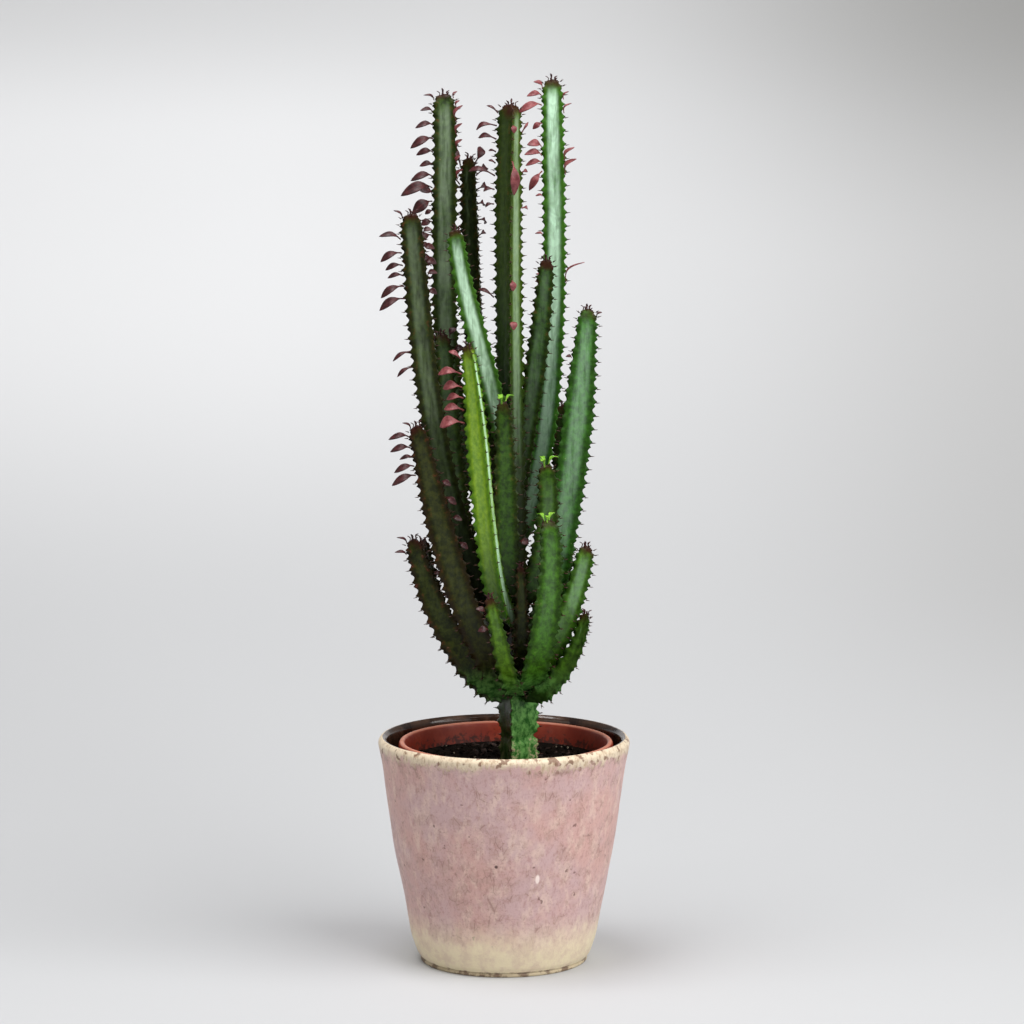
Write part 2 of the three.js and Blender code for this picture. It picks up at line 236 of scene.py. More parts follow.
crackle_lines = pink_glaze.between(crackle.outputs["Distance"], 0.0, 0.05, 1, 0)
cracked = pink_glaze.times(crackle_lines, pink_glaze.between(flecks, 0.5, 0.62))
body = pink_glaze.mixed(pink_glaze.times(cracked, 0.5), body, paint(132, 94, 88))
specks = pink_glaze.cloud(110, 2, 0.5)
body = pink_glaze.mixed(pink_glaze.between(specks, 0.71, 0.75, 0, 0.7), body, paint(108, 76, 68))
wander = pink_glaze.between(runs, 0.2, 0.8, -0.003, 0.003)
lip_edge = pink_glaze.plus(height, wander)
lip_edge = pink_glaze.plus(lip_edge, pink_glaze.between(flecks, 0.2, 0.8, -0.006, 0.006))
lip_edge = pink_glaze.plus(lip_edge, pink_glaze.between(fine_runs, 0.2, 0.8, -0.005, 0.005))
cream_runs = pink_glaze.between(fine_runs, 0.45, 0.65)
cream = pink_glaze.mixed(cream_runs, paint(226, 210, 184), paint(190, 166, 138))
cream = pink_glaze.mixed(pink_glaze.between(specks, 0.56, 0.64, 0, 0.85), cream, paint(120, 84, 62))
smoky = pink_glaze.times(pink_glaze.between(lip_edge, *lip_smoke), pink_glaze.between(flecks, 0.42, 0.60))
body = pink_glaze.mixed(pink_glaze.times(smoky, 0.6), body, paint(140, 108, 100))
body = pink_glaze.mixed(pink_glaze.between(lip_edge, *lip_cream), body, cream)
base_edge = pink_glaze.plus(height, pink_glaze.between(runs, 0.2, 0.8, -0.010, 0.010))
base_edge = pink_glaze.plus(base_edge, pink_glaze.between(fine_runs, 0.2, 0.8, -0.005, 0.005))
cream_flecks = pink_glaze.between(flecks, 0.4, 0.62)
raw_cream = pink_glaze.mixed(cream_flecks, paint(236, 223, 188), paint(224, 205, 178))
body = pink_glaze.mixed(pink_glaze.between(base_edge, *base_cream, 0, 0.92), body, raw_cream)
body = pink_glaze.mixed(pink_glaze.between(height, *foot_bare, 0, 0.8), body, paint(196, 180, 148))
worn = pink_glaze.times(pink_glaze.between(height, *foot_wear), pink_glaze.between(flecks, 0.44, 0.56))
body = pink_glaze.mixed(pink_glaze.times(worn, 0.8), body, paint(104, 76, 58))
pit = pink_glaze.distance(pit_place)
body = pink_glaze.mixed(pink_glaze.between(pit, 0.0022, 0.0010), body, paint(96, 70, 66))
chip = pink_glaze.distance(chip_place, pink_glaze.stretched(chip_stretch))
body = pink_glaze.mixed(pink_glaze.between(chip, 0.0026, 0.0014, 0, 0.95), body, paint(250, 232, 224))
pink_glaze.colour(body)
pink_glaze.rough(pink_glaze.between(runs, 0.3, 0.7, 0.40, 0.58))
surface = pink_glaze.plus(pink_glaze.times(runs, 0.8), pink_glaze.times(grains, 0.3))
surface = pink_glaze.plus(surface, pink_glaze.times(flecks, 0.7))
surface = pink_glaze.less(surface, pink_glaze.times(cracked, 0.3))
pink_glaze.relief(surface, 0.5, 0.0014)

brown_glaze = Finish("brown_inside_glaze", 0.1)
smears = brown_glaze.cloud(1.0, 4, 0.6, brown_glaze.stretched((40, 40, 12)))
smeared = brown_glaze.between(smears, 0.35, 0.7)
brown_glaze.colour(brown_glaze.mixed(smeared, paint(40, 26, 20), paint(82, 58, 44)))
brown_glaze.rough(brown_glaze.between(smears, 0.3, 0.7, 0.06, 0.20))
brown_glaze.relief(smears, 0.5, 0.0015)

cachepot = finished(pot, "cachepot", [pink_glaze.material, brown_glaze.material])
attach(cachepot, "root")
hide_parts("glazed_pot")

# ---------------------------------------------------------------------------------------------
# The nursery pot: thin terracotta-coloured plastic, blow-moulded, with a deep rolled rim. It is dropped loose
# into the cachepot and stands a little off its middle. Its drain holes can't be seen and are left out here.
# ---------------------------------------------------------------------------------------------

nursery_low, nursery_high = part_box("nursery_pot")
nursery_middle = (nursery_low[0] + nursery_high[0]) / 2
nursery_rim = (nursery_high[0] - nursery_low[0]) / 2
nursery_top = nursery_high[2]
nursery_foot = nursery_low[2]
nursery_base_radius = 0.072
plastic = 0.0022  # thickness of its wall
rolled = 0.014  # depth of its rim
overhang = 0.004  # how far the rim stands out past the wall
painted_rim_highlight = (0.2158, 0.2176)  # heights over which the rim's top is painted lighter, a painted highlight
splashed = (0.206, 0.197)  # and those over which peat has splashed it


def nursery_wall(z):
    """Outer radius of the tapered wall at that height."""
    share = (z - nursery_foot) / (nursery_top - nursery_foot)
    return nursery_base_radius + share * (nursery_rim - overhang - nursery_base_radius)


rim_foot = nursery_top - rolled
rim_line = smooth_line([
    (nursery_wall(rim_foot) + 0.0015, rim_foot + 0.0005), (nursery_rim - 0.0006, rim_foot + 0.0022),
    (nursery_rim, rim_foot + 0.0045), (nursery_rim, nursery_top - 0.0035),
    (nursery_rim - 0.0012, nursery_top - 0.0008), (nursery_rim - 0.0030, nursery_top),
    (nursery_rim - 0.0050, nursery_top - 0.0010), (nursery_rim - 0.0062, nursery_top - 0.0040),
    (nursery_wall(rim_foot) - plastic, rim_foot - 0.002),
], between=4)
inner_floor = nursery_foot + plastic
nursery = throw(
    [(0, nursery_foot), (nursery_wall(nursery_foot) - 0.003, nursery_foot),
     (nursery_wall(nursery_foot), nursery_foot + 0.002), (nursery_wall(rim_foot), rim_foot)]
    + rim_line + [(nursery_wall(inner_floor) - plastic, inner_floor), (0, inner_floor)], steps=128)
bmesh.ops.translate(nursery, verts=nursery.verts, vec=(nursery_middle, 0, 0))

terracotta = Finish("terracotta_plastic", 0.42)
scuffs = terracotta.cloud(1.0, 5, 0.6, terracotta.stretched((60, 60, 60)))
dust = terracotta.cloud(210, 4, 0.65)
rise = terracotta.coordinate("Z")
tone = terracotta.mixed(terracotta.between(scuffs, 0.35, 0.7), paint(142, 42, 20), paint(160, 60, 34))
# A painted highlight along the top of the rim.
tone = terracotta.mixed(terracotta.between(rise, *painted_rim_highlight, 0, 0.75), tone, paint(206, 138, 112))
splash = terracotta.plus(rise, terracotta.between(dust, 0.3, 0.7, -0.008, 0.008))
tone = terracotta.mixed(terracotta.between(splash, *splashed, 0, 0.8), tone, paint(44, 22, 16))
tone = terracotta.mixed(terracotta.between(dust, 0.60, 0.70, 0, 0.3), tone, paint(96, 58, 42))
terracotta.colour(tone)
terracotta.rough(terracotta.between(dust, 0.3, 0.7, 0.34, 0.55))
terracotta.relief(dust, 0.12, 0.0006)

nursery_pot = finished(nursery, "nursery_pot_moulding", [terracotta.material])
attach(nursery_pot, "root")
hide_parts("nursery_pot")

# ---------------------------------------------------------------------------------------------
# The potting soil: a dark peat and bark mix, settled in lumps round the trunk, with crumbs, bark chips and
# a few light grains of pumice lying loose on it. It fills the nursery pot.
# ---------------------------------------------------------------------------------------------

soil_low, soil_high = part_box("potting_soil")
soil_top = 0.195
soil_radius = (soil_high[0] - soil_low[0]) / 2 - 0.0002
soil_edge = 0.012  # the lumps die away over this width, and the soil rises a little to the plastic
soil_rings = 90
# The kinds of crumb, their shares in the mix, and their smallest and largest sizes.
crumb_kinds = ("peat", "bark", "pumice")
crumb_shares = (16, 5, 0.6)
crumb_sizes = ((0.0010, 0.0032), (0.0020, 0.0042), (0.0008, 0.0018))
crumb_count = 520


def ground_height(x, y):
    """Height of the lumpy soil: broad settling, then lumps, then crumbs."""
    radius = math.hypot(x - nursery_middle, y)
    edge_share = min(1.0, max(0.0, (soil_radius - radius) / soil_edge))
    broad = 0.0030 * noise.noise(Vector((x * 24, y * 24, 1.7)))
    lumps = 0.0034 * noise.noise(Vector((x * 85, y * 85, 5.2)))
    crumbs = 0.0016 * noise.noise(Vector((x * 240, y * 240, 9.1)))
    return soil_top + 0.0015 + edge_share * (broad + lumps + crumbs) + 0.002 * (1 - edge_share)


rings = [soil_radius * (1 - ring / soil_rings) for ring in range(soil_rings)]
soil = throw([(0, soil_low[2]), (nursery_wall(soil_low[2]) - plastic - 0.0006, soil_low[2])]
             + [(radius, soil_top) for radius in rings] + [(0, soil_top)], steps=180)
bmesh.ops.translate(soil, verts=soil.verts, vec=(nursery_middle, 0, 0))
for vert in soil.verts:
    if vert.co.z > soil_top - 0.001:
        vert.co.z = ground_height(vert.co.x, vert.co.y)

mixer = random.Random(7)
noise.seed_set(7)  # the crumbs' dents are the same each time
for _ in range(crumb_count):
    angle = mixer.uniform(0, math.tau)
    radius = (soil_radius - 0.004) * math.sqrt(mixer.uniform(0.02, 1))
    x, y = nursery_middle + radius * math.cos(angle), radius * math.sin(angle)
    kind = mixer.choices(range(len(crumb_kinds)), crumb_shares)[0]
    drawn_sizes = [mixer.uniform(*sizes) for sizes in crumb_sizes]
    size = drawn_sizes[kind]
    tumble = mixer.uniform(0, math.tau)
    tumbled_about = (mixer.random(), mixer.random(), mixer.random() + 0.1)
    turned = Matrix.Rotation(tumble, 4, tumbled_about)
    flatness = 0.35 if crumb_kinds[kind] == "bark" else 0.75
    squashed = Matrix.Diagonal((size, size * mixer.uniform(0.5, 0.9), size * flatness, 1))
    place = Matrix.Translation((x, y, ground_height(x, y) + 0.3 * size))
    made = bmesh.ops.create_icosphere(soil, subdivisions=1, radius=1, matrix=place @ turned @ squashed)
    for vert in made["verts"]:
        vert.co += 0.35 * size * noise.noise_vector(vert.co * 700)
        for face in vert.link_faces:
            face.material_index = kind

peat = Finish("damp_peat", 0.95)
fibres = peat.cloud(160, 6, 0.7)
lumps = peat.cloud(38, 3, 0.6)
tone = peat.mixed(peat.between(fibres, 0.38, 0.66), paint(7, 5, 3), paint(26, 18, 12))
peat.colour(peat.mixed(peat.between(lumps, 0.45, 0.7, 0, 0.5), tone, paint(16, 10, 7)))
peat.relief(fibres, 0.9, 0.003)
peat.shader.inputs["Specular IOR Level"].default_value = 0.1
bark = Finish("bark_chip", 0.85)
grain = bark.cloud(1.0, 5, 0.65, bark.stretched((500, 160, 160)))
bark.colour(bark.mixed(bark.between(grain, 0.35, 0.7), paint(24, 13, 9), paint(64, 40, 28)))
bark.relief(grain, 0.6, 0.001)
pumice = Finish("pumice_grain", 0.9)
pores = pumice.cloud(900, 3, 0.6)
pumice.colour(pumice.mixed(pumice.between(pores, 0.4, 0.65), paint(84, 72, 58), paint(132, 120, 104)))
pumice.relief(pores, 0.6, 0.0005)

potting_soil = finished(soil, "settled_soil", [peat.material, bark.material, pumice.material], smooth=False)
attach(potting_soil, "root")
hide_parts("potting_soil")

# ---------------------------------------------------------------------------------------------
# The trunk and its leader, grown as one: three winged ridges round a soft core, notched along their edges,
# with a pair of short dark spines on every tooth. It is thick and corky low down and reddish at its tip.
# ---------------------------------------------------------------------------------------------

tooth_pitch = 0.0132
crowded_teeth = 1.6  # how many more teeth stand in the last stretch below a growing tip
crowded_length = 0.010
tooth_height = 0.0050
spine_length = 0.0038
bare_joint = 0.022  # no spines grow on this first stretch
turned_up = 0.012  # and on this last one they turn up
tip_taper = 0.110  # a stem narrows over this length below its tip, or over 0.55 of its own if it is short
tip_dome = 0.016
row_step = 0.00145
window_side = Vector((0.92, -0.36, 0.15)).normalized()  # the window light's direction, from which light and shade are painted onto the stems
# Share of the way from one ridge to the next, and the radius there: a thin wing, then a hollow face.
wing = [(0, 1.0), (0.02, 0.965), (0.05, 0.87), (0.09, 0.77), (0.15, 0.665), (0.24, 0.565), (0.37, 0.49),
        (0.5, 0.46)]
sector = wing + [(1 - share, radius) for share, radius in reversed(wing[1:-1])]


class CentreLine:
    """The middle of a stem: a curve through four points, walked by distance from the root."""

    def __init__(self, line):
        self.points = interpolate_bezier(*(Vector(p) / 1000 for p in line), 400)
        self.lengths = [0.0]
        for start, end in zip(self.points, self.points[1:]):
            self.lengths.append(self.lengths[-1] + (end - start).length)
        self.length = self.lengths[-1]

    def at(self, along):
        """The point there, and the three directions: along, side (nearly +X) and depth."""
        index = min(max(bisect.bisect_right(self.lengths, along) - 1, 0), len(self.points) - 2)
        start, end = self.points[index], self.points[index + 1]
        share = (along - self.lengths[index]) / (self.lengths[index + 1] - self.lengths[index])
        direction = (end - start).normalized()
        side = (Vector((1, 0, 0)) - direction * direction.x).normalized()
        return start.lerp(end, share), direction, side, direction.cross(side)


def tooth_count(from_tip):
    """Teeth between the tip and a place on a ridge: evenly spaced, crowding together at the growing tip."""
    return from_tip / tooth_pitch + crowded_teeth * (1 - math.exp(-from_tip / crowded_length))


def ease(value, low, high):
    """Runs smoothly from 0 to 1 while the value runs from low to high."""
    share = min(1.0, max(0.0, (value - low) / (high - low)))
    return share * share * (3 - 2 * share)


def ridge_radius(stem, along, length, height):
    """Radius over the ridges: a narrow joint at the root, a rounded tip, slow swelling between seasons."""
    from_tip = length - along
    taper = stem["tip"] + (1 - stem["tip"]) * ease(from_tip, 0, min(tip_taper, 0.55 * length))
    dome = math.sqrt(max(0.0, 1 - (1 - min(1.0, from_tip / tip_dome)) ** 2))
    tip = taper * dome ** 0.85
    season = 1 + 0.045 * noise.noise(Vector((along * 16, stem["girth"], stem["turn"])))
    for pinch in stem.get("pinches", ()):
        season *= 1 - 0.16 * math.exp(-(((height * 1000 - pinch) / 5) ** 2))
    if stem.get("trunk"):
        swell = ease(0.340 - height, 0, 0.080)  # the trunk thickens downwards from 340 mm
        return (stem["girth"] + swell * (stem["trunk"] - stem["girth"])) / 1000 * tip * season
    joint = 0.5 + 0.5 * ease(along, 0.008, 0.040)
    return stem["girth"] / 1000 * joint * tip * season


def twist(stem, along, length):
    """How far round, in radians, the ridges stand from where they end at the tip."""
    return math.radians(stem.get("twist", 0)) * (1 - along / length)


def graft(shape, part):
    """Joins the part to the shape and uses it up."""
    carried = bpy.data.meshes.new("carried")
    part.to_mesh(carried)
    part.free()
    shape.from_mesh(carried)
    bpy.data.meshes.remove(carried)


def grow_spines(stem, middle, rows):
    """A pair of spines on every tooth above the joint, the last ones turned up round the tip."""
    spines = bmesh.new()
    for ridge in range(3):
        heading = math.radians(stem["turn"] + 120 * ridge)
        counts = [tooth_count(middle.length * (1 - row / rows)) + ridge / 3 for row in range(rows + 1)]
        for row in range(rows - 1, round(bare_joint / row_step), -1):
            if math.floor(counts[row]) == math.floor(counts[row + 1]):
                continue
            along = middle.length * row / rows
            point, direction, side, depth = middle.at(along)
            angle = heading + twist(stem, along, middle.length)
            outward = side * math.cos(angle) + depth * math.sin(angle)
            around = outward.cross(direction)
            reach = ridge_radius(stem, along, middle.length, point.z) + tooth_height * 0.7
            upward = 0.15 + 0.8 * ease(turned_up - (middle.length - along), 0, turned_up)
            for lean in (-1, 1):
                aim = (outward + 0.55 * lean * around + upward * direction).normalized()
                root = point + outward * (reach - 0.0010)
                turned = aim.to_track_quat("Z", "Y").to_matrix().to_4x4()
                place = Matrix.Translation(root + aim * 0.0017) @ turned
                bmesh.ops.create_cone(spines, cap_ends=True, segments=4, radius1=0.0006, radius2=0.0001,
                                      depth=spine_length, matrix=place)
    bmesh.ops.recalc_face_normals(spines, faces=spines.faces)
    for face in spines.faces:
        face.material_index = 1
    return spines


def grow(stem):
    """One stem as a closed mesh: a sheet wrapped round its centre line, and its spines."""
    middle = CentreLine(stem["line"])
    rows = round(middle.length / row_step)
    columns = 3 * len(sector)
    sheet = bmesh.new()
    bmesh.ops.create_grid(sheet, x_segments=columns, y_segments=rows, size=0.5)
    ridge_layer = sheet.verts.layers.float.new("ridge")
    along_layer = sheet.verts.layers.float.new("along")
    tip_layer = sheet.verts.layers.float.new("from_tip")
    tone_layers = {name: sheet.verts.layers.float.new(name) for name in ("tan_and_shade", "bloom_and_sheen", "fresh")}
    tooth_layer = sheet.verts.layers.float.new("tooth")
    facing_light_layer = sheet.verts.layers.float.new("facing_light")
    stations = []
    for row in range(rows + 1):
        along = middle.length * row / rows
        point, direction, side, depth = middle.at(along)
        radius = ridge_radius(stem, along, middle.length, point.z) if 0 < row < rows else 0
        fade = ease(along, 0.015, 0.035) * ease(middle.length - along, 0.0, 0.004)
        stations.append((along, point, side, depth, radius, fade))
    for vert in sheet.verts:
        column = round((vert.co.x + 0.5) * columns) % columns
        row = round((vert.co.y + 0.5) * rows)
        along, point, side, depth, radius, fade = stations[row]
        ridge, step = divmod(column, len(sector))
        share, reach = sector[step]
        beat = abs(math.sin(math.pi * (tooth_count(middle.length - along) + ridge / 3)))
        edge_share = max(0.0, 1 - min(share, 1 - share) / 0.12)
        tooth = fade * (1 - beat) ** 1.6
        notch = tooth_height * edge_share ** 1.5 * (tooth - 0.25 * fade)
        blister = 0.0004 * noise.noise(Vector((point.x * 60 + 9 * ridge + step, point.y * 60, along * 150)))
        angle = math.radians(stem["turn"] + 120 * (ridge + share)) + twist(stem, along, middle.length)
        out = reach * radius + (notch + blister if radius else 0)
        vert.co = point + out * (side * math.cos(angle) + depth * math.sin(angle))
        vert[ridge_layer] = 1 - 2 * min(share, 1 - share)
        vert[along_layer] = along
        vert[tip_layer] = middle.length - along
        for name, layer in tone_layers.items():
            vert[layer] = stem[name]
        vert[tooth_layer] = edge_share * (1 - beat)
    bmesh.ops.remove_doubles(sheet, verts=sheet.verts, dist=1e-6)
    bmesh.ops.recalc_face_normals(sheet, faces=sheet.faces)
    sheet.normal_update()
    # How far the skin faces the window light, kept for the painted light and shade of its colour.
    for vert in sheet.verts:
        vert[facing_light_layer] = 0.5 + 0.5 * vert.normal.dot(window_side)
    graft(sheet, grow_spines(stem, middle, rows))
    return sheet


flesh = Finish("stem_flesh", 0.36)
height = flesh.coordinate("Z")
ridge = flesh.attribute("ridge")
along = flesh.attribute("along")
from_tip = flesh.attribute("from_tip")
tan_and_shade = flesh.attribute("tan_and_shade")
bloom_and_sheen = flesh.attribute("bloom_and_sheen")
fresh = flesh.attribute("fresh")
tooth = flesh.attribute("tooth")
mottle = flesh.cloud(170, 6, 0.68)
blotch = flesh.cloud(26, 3, 0.6)
streaks = flesh.cloud(1.0, 5, 0.65, flesh.stretched((230, 230, 22)))
patches = flesh.cloud(1.0, 3, 0.55, flesh.stretched((42, 42, 15)))
window_light = flesh.attribute("facing_light")
facing_light = flesh.between(window_light, 0.20, 0.85)

# Its skin is green, yellow-green where it is new, and olive where old sun has tanned it and, as painted
# shade, on stems that stand in shade. The faces turned from the window light are painted darker, a painted
# shade, less so on new growth and on waxy skin.
green = flesh.mixed(flesh.between(mottle, 0.34, 0.66), paint(13, 46, 5), paint(46, 108, 19))
yellow_green = flesh.mixed(flesh.between(mottle, 0.34, 0.66), paint(108, 150, 18), paint(146, 184, 38))
olive = flesh.mixed(flesh.between(mottle, 0.34, 0.66), paint(20, 23, 5), paint(52, 56, 14))
new_growth = flesh.times(fresh, flesh.between(from_tip, 0.34, 0.14))
skin = flesh.mixed(new_growth, green, yellow_green)
skin = flesh.mixed(tan_and_shade, skin, olive)
painted_shade_tone = flesh.mixed(tan_and_shade, paint(8, 26, 6), paint(17, 15, 5))
painted_shade = flesh.times(flesh.between(facing_light, 0.74, 0.0, 0, 0.88), flesh.between(new_growth, 0.55, 1.0, 1, 0.15))
painted_shade = flesh.times(painted_shade, flesh.less(1.0, flesh.times(bloom_and_sheen, 0.45)))
skin = flesh.mixed(painted_shade, skin, painted_shade_tone)

# A pale mint, partly waxy bloom and partly a painted sheen, whitens the faces towards the window light in
# faint chevrons, one to a tooth, and thins out down the stem and low on the plant.
chevron = flesh.less(flesh.times(along, 1 / tooth_pitch), flesh.times(ridge, 0.8))
chevron = flesh.plus(chevron, flesh.between(blotch, 0.25, 0.75, -1.2, 1.2))
wave = flesh.add("ShaderNodeMath", {0: flesh.times(chevron, math.tau)}, operation="SINE").outputs[0]
bands = flesh.between(wave, -0.6, 1.0, 0.88, 1)
pale_bloom_and_sheen = flesh.times(bands, flesh.between(ridge, 0.90, 0.45))
pale_bloom_and_sheen = flesh.times(pale_bloom_and_sheen, flesh.between(streaks, 0.32, 0.54, 0.5, 1))
pale_bloom_and_sheen = flesh.times(pale_bloom_and_sheen, flesh.between(patches, 0.32, 0.52, 0.5, 1))
pale_bloom_and_sheen = flesh.times(pale_bloom_and_sheen, flesh.plus(flesh.times(bloom_and_sheen, 0.97), 0.02))
lit = flesh.less(window_light, flesh.times(fresh, 0.15))
pale_bloom_and_sheen = flesh.times(pale_bloom_and_sheen, flesh.between(lit, 0.40, 0.56, 0.08, 1))
pale_bloom_and_sheen = flesh.times(pale_bloom_and_sheen, flesh.between(from_tip, 0.004, 0.022))
pale_bloom_and_sheen = flesh.times(pale_bloom_and_sheen, flesh.between(height, 0.30, 0.36))
pale_bloom_and_sheen = flesh.times(pale_bloom_and_sheen, flesh.between(from_tip, 0.42, 0.14, 0.4, 1))
skin = flesh.mixed(pale_bloom_and_sheen, skin, flesh.mixed(tan_and_shade, paint(206, 246, 214), paint(158, 172, 136)))

# The ridges' edges are plain green or tanned brown, the brown partly painted shade as above, rusty near a
# tanned tip. The tip itself is dark red, and the joint at the root is dull and dark, partly as painted shade
# deep inside the plant.
margin = flesh.between(ridge, 0.66, 0.94, 0, 0.7)
green_edge = flesh.mixed(bloom_and_sheen, paint(18, 44, 6), paint(58, 104, 28))
skin = flesh.mixed(margin, skin, flesh.mixed(tan_and_shade, green_edge, paint(38, 25, 11)))
rusty = flesh.times(flesh.between(mottle, 0.54, 0.66), flesh.between(ridge, 0.45, 0.85))
rusty = flesh.times(rusty, flesh.between(from_tip, 0.24, 0.0))
rusty = flesh.times(rusty, flesh.times(tan_and_shade, 0.9))
skin = flesh.mixed(rusty, skin, paint(92, 42, 30))
blush = flesh.plus(from_tip, flesh.between(blotch, 0.3, 0.7, -0.006, 0.006))
skin = flesh.mixed(flesh.between(blush, 0.013, 0.001, 0, 0.92), skin, paint(56, 24, 18))
skin = flesh.mixed(flesh.between(along, 0.045, 0.015, 0, 0.8), skin, paint(30, 34, 14))

# Skin in the shelter between the stems gets painted shade, dark from the top of the trunk up, and less and
# less so to 620 mm.
# The trunk is a paler, mottled green, with pale cork on its ridges low down; both are painted stronger on
# the side turned to the window light, as a painted highlight. Every tooth has a dark edge.
from_axis = flesh.distance((0, 0, 0), flesh.stretched((1, 1, 0)))
painted_inner_shade = flesh.times(flesh.between(from_axis, 0.050, 0.018), flesh.between(height, 0.620, 0.420))
painted_inner_shade = flesh.times(painted_inner_shade, flesh.between(height, 0.290, 0.315))
skin = flesh.mixed(flesh.times(painted_inner_shade, 0.8), skin, paint(26, 24, 10))
trunk_green = flesh.mixed(flesh.between(mottle, 0.36, 0.62), paint(36, 88, 30), paint(106, 160, 84))
trunk_green_and_light = flesh.times(flesh.between(height, 0.300, 0.262), flesh.between(facing_light, 0.20, 0.55, 0.1, 0.9))
skin = flesh.mixed(trunk_green_and_light, skin, trunk_green)
cork_and_highlight = flesh.plus(flesh.between(height, 0.240, 0.200, -0.08, 0.12), mottle)
cork_and_highlight = flesh.times(flesh.between(cork_and_highlight, 0.58, 0.68), flesh.between(ridge, 0.30, 0.75))
cork_and_highlight = flesh.times(cork_and_highlight, flesh.between(facing_light, 0.15, 0.45, 0.15, 1))
skin = flesh.mixed(flesh.times(cork_and_highlight, 0.85), skin, paint(178, 154, 128))
skin = flesh.mixed(flesh.between(tooth, 0.60, 0.85), skin, paint(40, 20, 12))

flesh.colour(skin)
flesh.rough(flesh.between(mottle, 0.3, 0.7, 0.30, 0.44))
flesh.relief(flesh.plus(mottle, flesh.times(streaks, 0.5)), 0.3, 0.0014)
flesh.shader.inputs["Specular IOR Level"].default_value = 0.12
flesh.shader.inputs["Coat Weight"].default_value = 0.02
flesh.shader.inputs["Coat Roughness"].default_value = 0.25

thorn = Finish("spine", 0.5)
tint = thorn.cloud(300, 2, 0.5)
thorn.colour(thorn.mixed(tint, paint(36, 20, 16), paint(84, 48, 36)))


def stand(stem, name, node):
    """Grows the stem and puts it in the place of the design's own."""
    piece = finished(grow(stem), name, [flesh.material, thorn.material])
    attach(piece, "root")
    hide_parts(node)


# Line: the root, two guide points and the tip of its middle, in millimetres. Girth: its radius over the
# ridges in millimetres, and trunk: the same low down. Turn: the heading of its first ridge in degrees, and
# twist: how far the ridges wind round. Tip: the share of the girth left at the tip. Tan and shade: how
# tanned its skin is, set higher as painted shade on stems that stand in shade. Bloom and sheen: how waxy
# its skin is, with the painted sheen that goes with it. Fresh: how newly grown it is. Pinches: the heights
# in millimetres where a season's growth ended.
main_stem = {"line": [(12.5, 0, 150), (12, 0, 390), (1, 0, 620), (7, 0, 838)], "girth": 14.5, "trunk": 22,
             "turn": -80, "twist": -24, "tip": 0.9, "tan_and_shade": 0.55, "bloom_and_sheen": 0.45, "fresh": 0.5,
             "pinches": (221, 300, 468)}
stand(main_stem, "trunk_and_leader", "main_stem")

# ---------------------------------------------------------------------------------------------
# The branches: each grew from a ridge of the trunk through a narrow joint, bent outwards and then rose beside
# the leader. Each has its root inside the trunk, so that the two are one flesh.
# ---------------------------------------------------------------------------------------------

